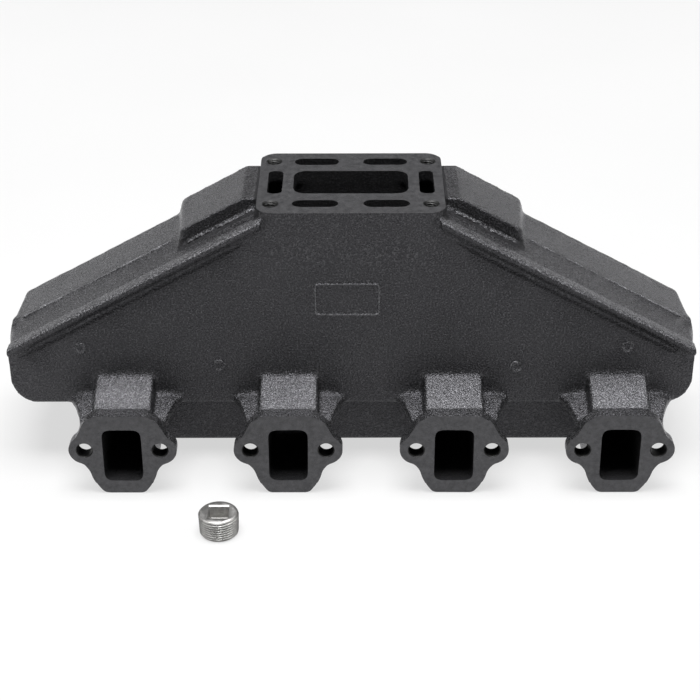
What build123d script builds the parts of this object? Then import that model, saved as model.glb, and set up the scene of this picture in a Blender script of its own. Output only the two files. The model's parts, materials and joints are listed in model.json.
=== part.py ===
"""Water-jacketed exhaust manifold for one bank of a V8, with a riser deck on top, and its loose pipe plug.

Frame, millimetres: +X along the manifold, +Y away from the cylinder head, +Z up towards the riser.
Y = 0 is the front wall of the water jacket, X = 0 the middle of the riser deck, Z = 0 the surface it stands on.
The iron is one casting: it is modelled as its functional sections, which meet face to face.
"""

import math
import os

from build123d import *

os.makedirs("parts", exist_ok=True)

# ---------------------------------------------------------------- driving dimensions
# exhaust ports
PITCH = 111.25  # cylinder spacing, 4.38 in
PORT_SHIFT = 13.3  # the row of ports stands off the deck's centre
PORT_X = [PORT_SHIFT + (i - 1.5) * PITCH for i in range(4)]
BOLT_GAP = 50.8  # the two bolts of one port, 2.00 in
BOLT_Z = 34.4
BOLT_R = 5.15  # clearance for 3/8 in
PORT_W, PORT_Z0, PORT_Z1, PORT_R = 26.2, 10.2, 50.3, 4.5
FLANGE_T, FLANGE_TOP = 9.5, 61.2
EAR_R, END_EAR_R = 11.2, 10.7  # the outermost ears are slimmer
Y_HEAD = -38.0  # machined faces against the cylinder head
Y_BEHIND = Y_HEAD + FLANGE_T

# water jacket, a fan that narrows from the ports up to the deck
Y_BACK, Y_PART = 96.0, 48.0  # rear face, and the mould's parting plane
WALL = 6.0
Z_BODY = 48.5
END_FRONT, END_PART, END_BACK = 232.0, 237.3, 235.5  # half lengths at the walls and at the parting plane
SLOPE, ROOF_X, ROOF_Z, ROOF_DRAFT = 0.55, 231.5, 86.6, 2.3
CORNER_R, SHOULDER_R = 18.5, 4.5

# riser deck and its gasket pattern
Z_DECK, DECK_T = 192.0, 9.5
DECK_W, DECK_D, DECK_R, DECK_Y = 123.0, 97.0, 11.0, 47.2
DECK_U = Z_DECK - DECK_T
GAS_W, GAS_D, GAS_R = 76.4, 36.0, 8.0
SLOT_L, SLOT_W, SLOT_X, SLOT_Y = 30.5, 10.5, 23.3, 33.6
END_SLOT_W, END_SLOT_L, END_SLOT_X = 9.8, 36.0, 50.4
SLOT_DROP, WEB_GAP = 14.0, 6.0  # the end slots' way down, and the room it takes behind them
STUD_X, STUD_Y, STUD_DEPTH = 104.8, 68.2, 24.0
STUD_R = 3.97  # tapping drill of 3/8-16
COLUMN_R = 9.0
APRON_H = 34.0  # the front wall swells over this height to meet the deck's front flush

# lip along the two front diagonals, and the raised water passages behind it
RIM_H, RIM_NOSE, RIM_DROP, RIM_Y0, RIM_Y1, RIM_X = 5.4, 1.9, 3.8, -4.0, 8.4, 58.5
RIM_CREST = 2.6
BOSS_Y, BOSS_FLAT, BOSS_WALL = 30.0, 72.0, 6.5
BOSS_FRONT, BOSS_LOW_FRONT, BOSS_END_FRONT = 13.4, 114.5, 116.0
BOSS_REAR, BOSS_LOW_REAR, BOSS_END_REAR = 9.0, 118.5, 122.5

# exhaust log and gas passages
LOG_X0, LOG_X1, LOG_Y = -177.0, 203.0, 28.0
LOG_WALL = 6.0
GALLERY_Y, GALLERY_W, GALLERY_Z = 72.0, 18.0, 7.0  # its front side, behind the gas passage's wall; it runs back to the rear wall
DUCT_W, DUCT_Z0, DUCT_Z1, DUCT_Z2, DUCT_R = 39.6, 2.5, 58.8, 71.5, 2.2
PLENUM_T = 5.2
PLENUM_GAP = 18.5  # water between roof and plenum, wall included

# tapped water inlets, 3/4 in taper pipe thread
TAP_Z, TAP_R, TAP_BOSS_R = 72.0, 12.3, 16.0

# cast-in chaplets that held the cores
CHAPLETS_F = [(-182.4, 91.8), (-89.5, 78.4), (111.5, 77.0), (185.5, 92.0)]
CHAPLETS_B = [(-182.4, 91.8), (-60.0, 112.0), (60.0, 112.0), (182.1, 91.8)]
CHAP_R, CHAP_STEM, CHAP_HEAD, CHAP_PROUD = 3.9, 2.0, 1.4, 0.4

# blank cast frame on the front wall
TAG_X0, TAG_X1, TAG_Z0, TAG_Z1, TAG_LINE, TAG_RISE = -24.3, 19.2, 116.8, 140.9, 1.3, 0.7

# pipe plug
PLUG_X, PLUG_R, PLUG_H = -86.7, 13.335, 15.6
PLUG_Y = -96.0 + PLUG_R
THREAD_PITCH, THREAD_DEPTH, THREADS = 25.4 / 14, 1.15, 8
PLUG_SQ, PLUG_SQ_DEPTH = 12.9, 9.0

SLANT = math.hypot(1.0, SLOPE)  # vertical drop of a unit offset from the roof


def roof(x):
    """Height of the sloping roof at x, along the walls."""
    return ROOF_Z + SLOPE * (ROOF_X - abs(x))


GAS_Y0, GAS_Y1 = DECK_Y - GAS_D / 2, DECK_Y + GAS_D / 2
FLOOR_X = END_FRONT - WALL - 9  # half length of the jacket's floor
LOG_MID, LOG_L = (LOG_X0 + LOG_X1) / 2, LOG_X1 - LOG_X0

# ---------------------------------------------------------------- volumes that the sections are cut from
# skin of the jacket, drafted both ways from the parting plane
halves = []
for y_wall, e_wall in ((0.0, END_FRONT), (Y_BACK, END_BACK)):
    with BuildPart() as half:
        for y, e, up in ((y_wall, e_wall, 0.0), (Y_PART, END_PART, ROOF_DRAFT)):
            top = DECK_W / 2
            zc = roof(e) + up
            with BuildSketch(Plane.XZ.offset(-y)) as section:
                with BuildLine():
                    Polyline(
                        (-top, roof(top) + up),
                        (top, roof(top) + up),
                        (e, zc),
                        (e, Z_BODY),
                        (-e, Z_BODY),
                        (-e, zc),
                        close=True,
                    )
                make_face()
                fillet(section.vertices().filter_by(lambda v: v.Y < Z_BODY + 1), CORNER_R)
                fillet(section.vertices().filter_by(lambda v: abs(v.X) > e - 1 and v.Y > zc - 1), SHOULDER_R)
        loft(ruled=True)
    halves.append(half.part)

with BuildPart() as deck_block:
    with BuildSketch(Plane.XY.offset(DECK_U)) as deck_plan:
        with Locations((0, DECK_Y)):
            RectangleRounded(DECK_W, DECK_D, DECK_R)
    extrude(amount=DECK_T)

with BuildPart() as rims:
    for s in (-1, 1):
        with BuildSketch(Plane.XZ.offset(-RIM_Y1)):
            with BuildLine():
                Polyline(
                    (s * RIM_X, roof(RIM_X) + RIM_H),
                    (s * END_FRONT, roof(END_FRONT) + RIM_H),
                    (s * END_FRONT, roof(END_FRONT) - 1.0),
                    (s * (END_FRONT - 4.0), roof(END_FRONT - 4.0) - RIM_DROP),
                    (s * RIM_X, roof(RIM_X) - RIM_DROP),
                    close=True,
                )
            make_face()
        extrude(amount=RIM_Y1 - RIM_Y0)
    crests = rims.edges().filter_by(lambda e: e.length > 150 and e.center().Z > roof(e.center().X) + 1)
    fillet(crests, RIM_CREST)
    # below its nose each lip is undercut back to the wall
    x = (RIM_X + END_FRONT) / 2
    for s in (-1, 1):
        with BuildSketch(Plane(origin=(s * x, 0, roof(x)), x_dir=(0, 1, 0), z_dir=(s, 0, -SLOPE))):
            with BuildLine():
                Polyline(
                    (RIM_Y0 - 2, s * RIM_NOSE / SLANT),
                    (RIM_Y0, s * RIM_NOSE / SLANT),
                    (0, -s * RIM_DROP / SLANT),
                    (0, -s * (RIM_DROP + 8) / SLANT),
                    (RIM_Y0 - 2, -s * (RIM_DROP + 8) / SLANT),
                    close=True,
                )
            make_face()
        extrude(amount=140, both=True, mode=Mode.SUBTRACT)

with BuildPart() as apron:
    with BuildSketch(Plane.XY.offset(DECK_U - APRON_H)):
        with Locations((0, DECK_Y)):
            RectangleRounded(DECK_W, DECK_D, DECK_R)
    extrude(amount=APRON_H)
    with BuildSketch(Plane.YZ.offset(-DECK_W)):
        with BuildLine():
            Polyline(
                (2, DECK_U - APRON_H - 1), (0, DECK_U - APRON_H), (DECK_Y - DECK_D / 2, DECK_U), (2, DECK_U), close=True
            )
        make_face()
    extrude(amount=2 * DECK_W, mode=Mode.INTERSECT)

# everything of the jacket's skin that lies outside the deck
with BuildPart() as skin:
    add(halves[0])
    add(halves[1])
    add(rims.part)
    add(apron.part)
    add(deck_block.part, mode=Mode.SUBTRACT)
    with Locations((0, DECK_Y, DECK_U)):
        Box(2 * RIM_X, 2 * DECK_D, 60, align=(Align.CENTER, Align.CENTER, Align.MIN), mode=Mode.SUBTRACT)

# room between the jacket's walls, roof and floor
with BuildPart() as water_room:
    with BuildSketch(Plane.XZ.offset(-WALL)):
        with BuildLine():
            drop = WALL * SLANT
            e = END_FRONT - WALL
            xa = ROOF_X - (DECK_U - ROOF_Z + drop) / SLOPE
            zf = Z_BODY + WALL
            Polyline(
                (-xa, DECK_U), (xa, DECK_U), (e, roof(e) - drop), (e, zf + 9), (e - 9, zf),
                (9 - e, zf), (-e, zf + 9), (-e, roof(e) - drop), close=True,
            )
        make_face()
    extrude(amount=-(Y_BACK - 2 * WALL))

with BuildPart() as stud_columns:
    with BuildSketch(Plane.XY.offset(DECK_U - STUD_DEPTH)):
        with Locations((0, DECK_Y)):
            with GridLocations(STUD_X, STUD_Y, 2, 2):
                Circle(COLUMN_R)
    extrude(amount=STUD_DEPTH)
    with Locations((0, Y_BACK / 2, DECK_U)):
        Box(300, Y_BACK - 2 * WALL, 4 * STUD_DEPTH, mode=Mode.INTERSECT)

with BuildPart() as stud_holes:
    with BuildSketch(Plane.XY.offset(Z_DECK - STUD_DEPTH)):
        with Locations((0, DECK_Y)):
            with GridLocations(STUD_X, STUD_Y, 2, 2):
                Circle(STUD_R)
    extrude(amount=STUD_DEPTH + 1)

# raised passages over the roof, whose crowns fall towards the back, and the channels inside them
bosses = []
channels = []
gaps = []
for s in (-1, 1):
    with BuildPart() as boss:
        for y, h, low, foot in (
            (BOSS_Y, BOSS_FRONT, BOSS_LOW_FRONT, BOSS_END_FRONT),
            (Y_BACK, BOSS_REAR, BOSS_LOW_REAR, BOSS_END_REAR),
        ):
            with BuildSketch(Plane.XZ.offset(-y)):
                with BuildLine():
                    Polyline(
                        (s * 50, roof(BOSS_FLAT) + h),
                        (s * BOSS_FLAT, roof(BOSS_FLAT) + h),
                        (s * low, roof(low) + h),
                        (s * foot, roof(foot) - 3),
                        (s * 50, roof(foot) - 3),
                        close=True,
                    )
                make_face()
        loft(ruled=True)
        brow = boss.edges().filter_by(
            lambda e: BOSS_LOW_FRONT < abs(e.center().X) < BOSS_LOW_REAR and e.center().Z > roof(BOSS_LOW_REAR) + 5
        )
        fillet(brow, 5.0)
        # the casting's own skin, the deck and everything over it are not part of the passage
        add(halves[0], mode=Mode.SUBTRACT)
        add(halves[1], mode=Mode.SUBTRACT)
        add(deck_block.part, mode=Mode.SUBTRACT)
        with Locations((0, DECK_Y, 0)):
            Box(DECK_W, 2 * DECK_D, 600, mode=Mode.SUBTRACT)
    with BuildPart() as channel:
        # under the passage's crown
        with BuildSketch(Plane.XZ.offset(-(BOSS_Y + BOSS_WALL))):
            with BuildLine():
                x0, x1 = DECK_W / 2 + 0.2, BOSS_LOW_FRONT - 9
                Polyline(
                    (s * x0, DECK_U),
                    (s * (BOSS_FLAT - 1), DECK_U),
                    (s * x1, roof(x1) + BOSS_REAR - BOSS_WALL),
                    (s * x1, roof(x1) - drop - 3),
                    (s * x0, roof(x0) - drop - 3),
                    close=True,
                )
            make_face()
        extrude(amount=-(Y_BACK - WALL - BOSS_Y - BOSS_WALL))
    with BuildPart() as gap:
        # the way through the roof into the passage, and up to the deck's end slot between the stud columns
        add(channel.part)
        with Locations((0, GAS_Y1 + WEB_GAP, 0)):
            Box(600, 200, 600, align=(Align.CENTER, Align.MAX, Align.CENTER), mode=Mode.INTERSECT)
        with Locations((s * (GAS_W / 2 + PLENUM_T), GAS_Y0, DECK_U)):
            Box(
                DECK_W / 2 + 0.5 - GAS_W / 2 - PLENUM_T,
                GAS_Y1 + WEB_GAP - GAS_Y0,
                SLOT_DROP,
                align=(Align.MIN if s > 0 else Align.MAX, Align.MIN, Align.MAX),
            )
    bosses.append(boss.part)
    channels.append(channel.part)
    gaps.append(gap.part)

# the port ducts: their outside within the jacket, their outside below it, and the gas passage
with BuildPart() as stubs:
    for x in PORT_X:
        with Locations((x, 0, Z_BODY)):
            Box(DUCT_W, GAS_Y0 - PLENUM_T, DUCT_Z2 - Z_BODY, align=(Align.CENTER, Align.MIN, Align.MIN))

with BuildPart() as port_gas:
    for x in PORT_X:
        with BuildSketch(Plane.XZ.offset(-(Y_HEAD - 1))):
            with Locations((x, (PORT_Z0 + PORT_Z1) / 2)):
                RectangleRounded(PORT_W, PORT_Z1 - PORT_Z0, PORT_R)
        extrude(amount=-(LOG_Y + LOG_WALL + 0.5 - Y_HEAD + 1))
        with BuildSketch(Plane.YZ.offset(x - PORT_W / 2)):
            with BuildLine():
                Polyline((-26, 40), (-26, 49), (0, 64), (GAS_Y0 + 1, 64), (GAS_Y0 + 1, 40), close=True)
            make_face()
        extrude(amount=PORT_W)

# the gas plenum follows the fan a constant distance inside it
fans = []
for off, grow, xe in ((PLENUM_GAP, PLENUM_T, 205.5), (PLENUM_GAP + PLENUM_T, 0.0, 200.3)):
    with BuildPart() as fan:
        xw = GAS_W / 2 + grow
        d = off * SLANT
        with BuildSketch(Plane.XZ.offset(-(GAS_Y0 - grow))):
            with BuildLine():
                Polyline(
                    (-xw, DECK_U), (xw, DECK_U), (xw, roof(xw) - d), (xe, roof(xe) - d), (xe, Z_BODY + WALL),
                    (-xe, Z_BODY + WALL), (-xe, roof(xe) - d), (-xw, roof(xw) - d), close=True,
                )
            make_face()
        extrude(amount=-(GAS_D + 2 * grow))
    fans.append(fan.part)

# ---------------------------------------------------------------- riser deck
with BuildPart() as riser_deck:
    add(deck_block.part)
    with BuildSketch(Plane.XY.offset(DECK_U)):
        with Locations((0, DECK_Y)):
            RectangleRounded(GAS_W, GAS_D, GAS_R)
            with GridLocations(2 * SLOT_X, 2 * SLOT_Y, 2, 2):
                SlotOverall(SLOT_L, SLOT_W)
            with GridLocations(2 * END_SLOT_X, 0, 2, 1):
                RectangleRounded(END_SLOT_W, END_SLOT_L, 3.0)
    extrude(amount=DECK_T, mode=Mode.SUBTRACT)
    add(stud_holes.part, mode=Mode.SUBTRACT)
riser_deck.part.label = "riser_deck"
export_step(riser_deck.part, "parts/riser_deck.step")

# ---------------------------------------------------------------- chaplets
with BuildPart() as front_chaplets:
    for x, z in CHAPLETS_F:
        with BuildSketch(Plane.XZ.offset(CHAP_PROUD)):
            with Locations((x, z)):
                Circle(CHAP_R)
        extrude(amount=-(CHAP_HEAD + CHAP_PROUD))
        with BuildSketch(Plane.XZ.offset(-CHAP_HEAD)):
            with Locations((x, z)):
                Circle(CHAP_STEM)
        extrude(amount=-(WALL - 2 * CHAP_HEAD))
        with BuildSketch(Plane.XZ.offset(-(WALL - CHAP_HEAD))):
            with Locations((x, z)):
                Circle(CHAP_R)
        extrude(amount=-CHAP_HEAD)
front_chaplets.part.label = "front_chaplets"
export_step(front_chaplets.part, "parts/front_chaplets.step")

with BuildPart() as back_chaplets:
    for x, z in CHAPLETS_B:
        with BuildSketch(Plane.XZ.offset(-Y_BACK)):
            with Locations((x, z)):
                Circle(CHAP_R)
        extrude(amount=CHAP_HEAD)
        with BuildSketch(Plane.XZ.offset(-(Y_BACK - CHAP_HEAD))):
            with Locations((x, z)):
                Circle(CHAP_STEM)
        extrude(amount=WALL - 2 * CHAP_HEAD)
        with BuildSketch(Plane.XZ.offset(-(Y_BACK - WALL + CHAP_HEAD))):
            with Locations((x, z)):
                Circle(CHAP_R)
        extrude(amount=CHAP_HEAD)
back_chaplets.part.label = "back_chaplets"
export_step(back_chaplets.part, "parts/back_chaplets.step")

# ---------------------------------------------------------------- jacket walls
with BuildPart() as jacket_front_wall:
    add(skin.part)
    with Locations((0, WALL, 0)):
        Box(600, 60, 600, align=(Align.CENTER, Align.MAX, Align.CENTER), mode=Mode.INTERSECT)
    add(stubs.part, mode=Mode.SUBTRACT)
    add(front_chaplets.part, mode=Mode.SUBTRACT)
    # the blank frame is a low cast line
    with BuildSketch(Plane.XZ.offset(TAG_RISE)):
        with Locations(((TAG_X0 + TAG_X1) / 2, (TAG_Z0 + TAG_Z1) / 2)):
            RectangleRounded(TAG_X1 - TAG_X0, TAG_Z1 - TAG_Z0, 2.5)
            RectangleRounded(
                TAG_X1 - TAG_X0 - 2 * TAG_LINE, TAG_Z1 - TAG_Z0 - 2 * TAG_LINE, 1.4, mode=Mode.SUBTRACT
            )
    extrude(amount=-(TAG_RISE + 1))
jacket_front_wall.part.label = "jacket_front_wall"
export_step(jacket_front_wall.part, "parts/jacket_front_wall.step")

with BuildPart() as jacket_back_wall:
    add(skin.part)
    with Locations((0, Y_BACK - WALL, 0)):
        Box(600, 60, 600, align=(Align.CENTER, Align.MIN, Align.CENTER), mode=Mode.INTERSECT)
    add(back_chaplets.part, mode=Mode.SUBTRACT)
jacket_back_wall.part.label = "jacket_back_wall"
export_step(jacket_back_wall.part, "parts/jacket_back_wall.step")

for s, side, gap in ((-1, "left", gaps[0]), (1, "right", gaps[1])):
    with BuildPart() as jacket_end:
        add(skin.part)
        with Locations((s * 40, WALL, 0)):
            Box(
                400,
                Y_BACK - 2 * WALL,
                600,
                align=(Align.MAX if s < 0 else Align.MIN, Align.MIN, Align.CENTER),
                mode=Mode.INTERSECT,
            )
        add(water_room.part, mode=Mode.SUBTRACT)
        with Locations((0, 0, Z_BODY)):
            Box(2 * FLOOR_X, 3 * Y_BACK, WALL, align=(Align.CENTER, Align.CENTER, Align.MIN), mode=Mode.SUBTRACT)
        # stud columns hang from the deck in the upper corners
        add(stud_columns.part)
        with Locations((-s * 20, 0, 0)):
            Box(60, 400, 600, align=(Align.MAX if s > 0 else Align.MIN, Align.CENTER, Align.CENTER), mode=Mode.SUBTRACT)
        add(stud_holes.part, mode=Mode.SUBTRACT)
        add(gap, mode=Mode.SUBTRACT)
        add(fans[0], mode=Mode.SUBTRACT)
        # tapped water inlet in a round boss, level with the parting line outside
        with BuildSketch(Plane.YZ.offset(s * END_PART)):
            with Locations((Y_PART, TAP_Z)):
                Circle(TAP_BOSS_R)
        extrude(amount=-s * 25)
        with BuildSketch(Plane.YZ.offset(s * (END_PART + 1))):
            with Locations((Y_PART, TAP_Z)):
                Circle(TAP_R)
        extrude(amount=-s * 40, mode=Mode.SUBTRACT)
    jacket_end.part.label = f"jacket_{side}_end"
    export_step(jacket_end.part, f"parts/jacket_{side}_end.step")
    print(jacket_end.part.label, len(jacket_end.solids()), round(jacket_end.part.volume))

for side, boss, channel in (("left", bosses[0], channels[0]), ("right", bosses[1], channels[1])):
    with BuildPart() as water_passage:
        add(boss)
        add(channel, mode=Mode.SUBTRACT)
    water_passage.part.label = f"{side}_water_passage"
    export_step(water_passage.part, f"parts/{side}_water_passage.step")
    print(water_passage.part.label, len(water_passage.solids()), round(water_passage.part.volume))

with BuildPart() as jacket_floor:
    with BuildSketch(Plane.XZ.offset(-WALL)):
        with BuildLine():
            Polyline(
                (-FLOOR_X, Z_BODY), (FLOOR_X, Z_BODY), (FLOOR_X, Z_BODY + WALL), (-FLOOR_X, Z_BODY + WALL), close=True
            )
        make_face()
    extrude(amount=-(Y_BACK - 2 * WALL))
    # gas throat from the log, and the water gallery's slot behind it
    with Locations((LOG_MID, LOG_Y + LOG_WALL, Z_BODY)):
        Box(
            LOG_L - 2 * LOG_WALL,
            GAS_Y1 - LOG_Y - LOG_WALL,
            WALL,
            align=(Align.CENTER, Align.MIN, Align.MIN),
            mode=Mode.SUBTRACT,
        )
    with Locations((LOG_MID, GALLERY_Y, Z_BODY)):
        Box(LOG_L - 2 * LOG_WALL, GALLERY_W, WALL, align=(Align.CENTER, Align.MIN, Align.MIN), mode=Mode.SUBTRACT)
    add(stubs.part, mode=Mode.SUBTRACT)
    add(port_gas.part, mode=Mode.SUBTRACT)
jacket_floor.part.label = "jacket_floor"
export_step(jacket_floor.part, "parts/jacket_floor.step")

# ---------------------------------------------------------------- gas side
with BuildPart() as gas_plenum:
    add(fans[0])
    add(fans[1], mode=Mode.SUBTRACT)
    add(port_gas.part, mode=Mode.SUBTRACT)
gas_plenum.part.label = "gas_plenum"
export_step(gas_plenum.part, "parts/gas_plenum.step")

with BuildPart() as exhaust_log:
    with Locations((LOG_MID, LOG_Y, 0)):
        Box(LOG_L, Y_BACK - LOG_Y, Z_BODY, align=(Align.CENTER, Align.MIN, Align.MIN))
    fillet(exhaust_log.edges().filter_by(Axis.Z).group_by(Axis.Y)[-1], 8)
    fillet(exhaust_log.faces().sort_by(Axis.Z)[0].edges(), 1.5)
    with Locations((LOG_MID, LOG_Y + LOG_WALL, PORT_Z0)):
        Box(
            LOG_L - 2 * LOG_WALL,
            GAS_Y1 - LOG_Y - LOG_WALL,
            Z_BODY,
            align=(Align.CENTER, Align.MIN, Align.MIN),
            mode=Mode.SUBTRACT,
        )
    with Locations((LOG_MID, GALLERY_Y, GALLERY_Z)):
        Box(LOG_L - 2 * LOG_WALL, GALLERY_W, Z_BODY, align=(Align.CENTER, Align.MIN, Align.MIN), mode=Mode.SUBTRACT)
    add(port_gas.part, mode=Mode.SUBTRACT)
exhaust_log.part.label = "exhaust_log"
export_step(exhaust_log.part, "parts/exhaust_log.step")

# ---------------------------------------------------------------- port flanges and runners
for i, x in enumerate(PORT_X):
    ears = [(s, END_EAR_R if (i, s) in ((0, -1), (3, 1)) else EAR_R) for s in (-1, 1)]

    with BuildPart() as port_flange:
        with BuildSketch(Plane.XZ.offset(-Y_BEHIND)) as plate:
            with BuildLine():
                right = []
                left = []
                for (s, r), points in zip(ears, (left, right)):
                    points += [
                        (x + s * 13.8, 0),
                        (x + s * 18.4, 6.2),
                        (x + s * 21.4, 12.8),
                        (x + s * 23.0, 18.5),
                        (x + s * (BOLT_GAP / 2 + 0.12 * r), BOLT_Z - 0.99 * r),
                        (x + s * BOLT_GAP / 2, BOLT_Z),
                        (x + s * (BOLT_GAP / 2 + 0.46 * r), BOLT_Z + 0.88 * r),
                        (x + s * 24.8, 56.0),
                        (x + s * 16.5, FLANGE_TOP),
                    ]
                Polyline(*right, *reversed(left), close=True)
            make_face()
            for s, r in ears:
                with Locations((x + s * BOLT_GAP / 2, BOLT_Z)):
                    Circle(r)
            fillet(plate.vertices().filter_by(lambda v: v.Y < 0.01), 4.0)
            fillet(plate.vertices().filter_by(lambda v: abs(v.Y - 18.5) < 0.01), 5.0)
            fillet(plate.vertices().filter_by(lambda v: v.Y > FLANGE_TOP - 0.01), 3.0)
            with Locations((x, BOLT_Z)):
                with GridLocations(BOLT_GAP, 0, 2, 1):
                    Circle(BOLT_R, mode=Mode.SUBTRACT)
            with Locations((x, (PORT_Z0 + PORT_Z1) / 2)):
                RectangleRounded(PORT_W, PORT_Z1 - PORT_Z0, PORT_R, mode=Mode.SUBTRACT)
        extrude(amount=FLANGE_T)
    port_flange.part.label = f"port_flange_{i + 1}"
    export_step(port_flange.part, f"parts/port_flange_{i + 1}.step")
    print(port_flange.part.label, len(port_flange.solids()), round(port_flange.part.volume))

    # webs that tie the ears to the jacket's lower edge, one on each side
    gussets = []
    for s in (-1, 1):
        with BuildPart() as gusset:
            with BuildSketch(Plane.XZ):
                with BuildLine():
                    Polyline(
                        (x + s * 18, 41.5), (x + s * 25.5, 43.5), (x + s * 31, 46), (x + s * 35.5, Z_BODY),
                        (x + s * 39, Z_BODY + 1.5), (x + s * 39, 53.5), (x + s * 18, 59), close=True,
                    )
                make_face()
            extrude(amount=-Y_BEHIND)
            with BuildSketch(Plane.YZ.offset(x - 60)):
                with BuildLine():
                    Polyline((Y_BEHIND, 30), (Y_BEHIND, 50.0), (0, 57), (0, 30), close=True)
                make_face()
            extrude(amount=120, mode=Mode.INTERSECT)
            with BuildSketch(Plane.XY.offset(30)):
                with BuildLine():
                    Polyline(
                        (x + s * 10, Y_BEHIND), (x + s * 28.5, Y_BEHIND), (x + s * 30.5, Y_BEHIND + 10),
                        (x + s * 34, Y_BEHIND + 20), (x + s * 39, 0), (x + s * 10, 0), close=True,
                    )
                make_face()
            extrude(amount=40, mode=Mode.INTERSECT)
        gussets.append(gusset.part)

    with BuildPart() as port_runner:
        with BuildSketch(Plane.YZ.offset(x - DUCT_W / 2)):
            with BuildLine():
                Polyline((Y_BEHIND, DUCT_Z0), (0, DUCT_Z0), (0, DUCT_Z2), (Y_BEHIND, DUCT_Z1), close=True)
            make_face()
        extrude(amount=DUCT_W)
        fillet(port_runner.edges().filter_by(lambda e: abs(e.tangent_at(0.5).Y) > 0.5), DUCT_R)
        with Locations((x, 0, DUCT_Z0)):
            Box(DUCT_W, LOG_Y, Z_BODY - DUCT_Z0, align=(Align.CENTER, Align.MIN, Align.MIN))
        # inside the jacket it rises and runs on to the plenum
        with Locations((x, 0, Z_BODY)):
            Box(DUCT_W, GAS_Y0 - PLENUM_T, DUCT_Z2 - Z_BODY, align=(Align.CENTER, Align.MIN, Align.MIN))
        add(gussets[0])
        add(gussets[1])
        add(port_gas.part, mode=Mode.SUBTRACT)
    port_runner.part.label = f"port_runner_{i + 1}"
    export_step(port_runner.part, f"parts/port_runner_{i + 1}.step")
    print(port_runner.part.label, len(port_runner.solids()), round(port_runner.part.volume))

# ---------------------------------------------------------------- loose pipe plug
with BuildPart() as pipe_plug:
    axis = Axis((PLUG_X, PLUG_Y, 0), (0, 0, 1))
    with BuildSketch(Plane(origin=(PLUG_X, PLUG_Y, 0), x_dir=(1, 0, 0), z_dir=(0, -1, 0))):
        with BuildLine():
            z = 0.3
            low = PLUG_R - PLUG_H / 32 - THREAD_DEPTH
            outline = [(0.0, 0.0), (low - 0.6, 0.0), (low, z)]
            for k in range(THREADS):
                crest = PLUG_R - (PLUG_H - z) / 32
                outline.append((crest, z + 0.43 * THREAD_PITCH))
                outline.append((crest, z + 0.57 * THREAD_PITCH))
                z += THREAD_PITCH
                outline.append((PLUG_R - (PLUG_H - z) / 32 - THREAD_DEPTH, z))
            outline += [(PLUG_R - THREAD_DEPTH - 0.3, PLUG_H), (0.0, PLUG_H)]
            Polyline(*outline, close=True)
        make_face()
    revolve(axis=axis)
    with BuildSketch(Plane.XY.offset(PLUG_H)):
        with Locations((PLUG_X, PLUG_Y)):
            Rectangle(PLUG_SQ, PLUG_SQ)
    extrude(amount=-PLUG_SQ_DEPTH, mode=Mode.SUBTRACT)
pipe_plug.part.label = "pipe_plug"
export_step(pipe_plug.part, "parts/pipe_plug.step")

for node in (riser_deck, jacket_front_wall, jacket_back_wall, jacket_floor, gas_plenum, exhaust_log, pipe_plug):
    print(node.part.label, len(node.solids()), round(node.part.volume))
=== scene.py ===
import json
import math
import time

import bpy
import bmesh
import numpy as np
from mathutils import Matrix, Vector, noise
from mathutils.bvhtree import BVHTree


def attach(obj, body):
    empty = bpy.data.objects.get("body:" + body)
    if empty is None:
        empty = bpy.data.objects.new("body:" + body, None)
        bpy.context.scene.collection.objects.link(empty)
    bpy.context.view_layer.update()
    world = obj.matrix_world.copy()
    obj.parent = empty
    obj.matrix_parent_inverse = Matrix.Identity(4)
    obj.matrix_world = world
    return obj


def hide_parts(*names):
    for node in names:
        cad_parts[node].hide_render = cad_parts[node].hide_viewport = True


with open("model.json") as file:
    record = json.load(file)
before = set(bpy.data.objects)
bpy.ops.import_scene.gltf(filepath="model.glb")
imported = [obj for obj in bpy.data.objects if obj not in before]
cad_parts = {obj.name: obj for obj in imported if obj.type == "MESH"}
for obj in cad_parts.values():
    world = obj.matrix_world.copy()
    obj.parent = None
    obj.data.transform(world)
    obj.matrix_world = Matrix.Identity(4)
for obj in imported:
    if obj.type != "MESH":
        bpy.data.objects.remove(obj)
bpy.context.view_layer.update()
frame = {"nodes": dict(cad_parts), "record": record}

MM = 0.001
T0 = time.time()


def tick(words):
    print(f"[{time.time() - T0:6.1f} s] {words}")


IRON = [n for n in frame["record"]["behaviour"]["bodies"]["manifold"] if "chaplets" not in n]
PORTS = [13.3 + (i - 1.5) * 111.25 for i in range(4)]
STUDS = [(sx * 52.4, 47.2 + sy * 34.1) for sx in (-1, 1) for sy in (-1, 1)]
Z_DECK, Y_HEAD, Z_BOLT = 192.0, -38.0, 34.4
SLOPE = 0.55
FRONT = [(-182.4, 91.8), (-89.5, 78.4), (111.5, 77.0), (185.5, 92.0)]
BACK = [(-182.4, 91.8), (-60.0, 112.0), (60.0, 112.0), (182.1, 91.8)]
FLASH_Y = 46.0
TAG = (-23.6, 18.5, 117.5, 140.2)


def roof(x):
    """Height of the sloping roof at x, in mm, as in the CAD."""
    return 86.6 + SLOPE * (231.5 - np.abs(x))


# ------------------------------------------------------------------ mesh tools, in millimetres


def soup(node):
    """A CAD node's vertices in mm and its triangles, welded."""
    o = frame["nodes"][node]
    me = o.data
    me.calc_loop_triangles()
    v = np.empty(len(me.vertices) * 3, np.float32)
    me.vertices.foreach_get("co", v)
    v = v.reshape(-1, 3).astype(np.float64)
    m = np.array(o.matrix_world)
    v = (v @ m[:3, :3].T + m[:3, 3]) / MM
    t = np.empty(len(me.loop_triangles) * 3, np.int32)
    me.loop_triangles.foreach_get("vertices", t)
    t = t.reshape(-1, 3)
    key, first, back = np.unique(np.round(v, 3), axis=0, return_index=True, return_inverse=True)
    t = back.reshape(-1)[t]
    t = t[(t[:, 0] != t[:, 1]) & (t[:, 1] != t[:, 2]) & (t[:, 0] != t[:, 2])]
    return v[first], t


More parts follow.
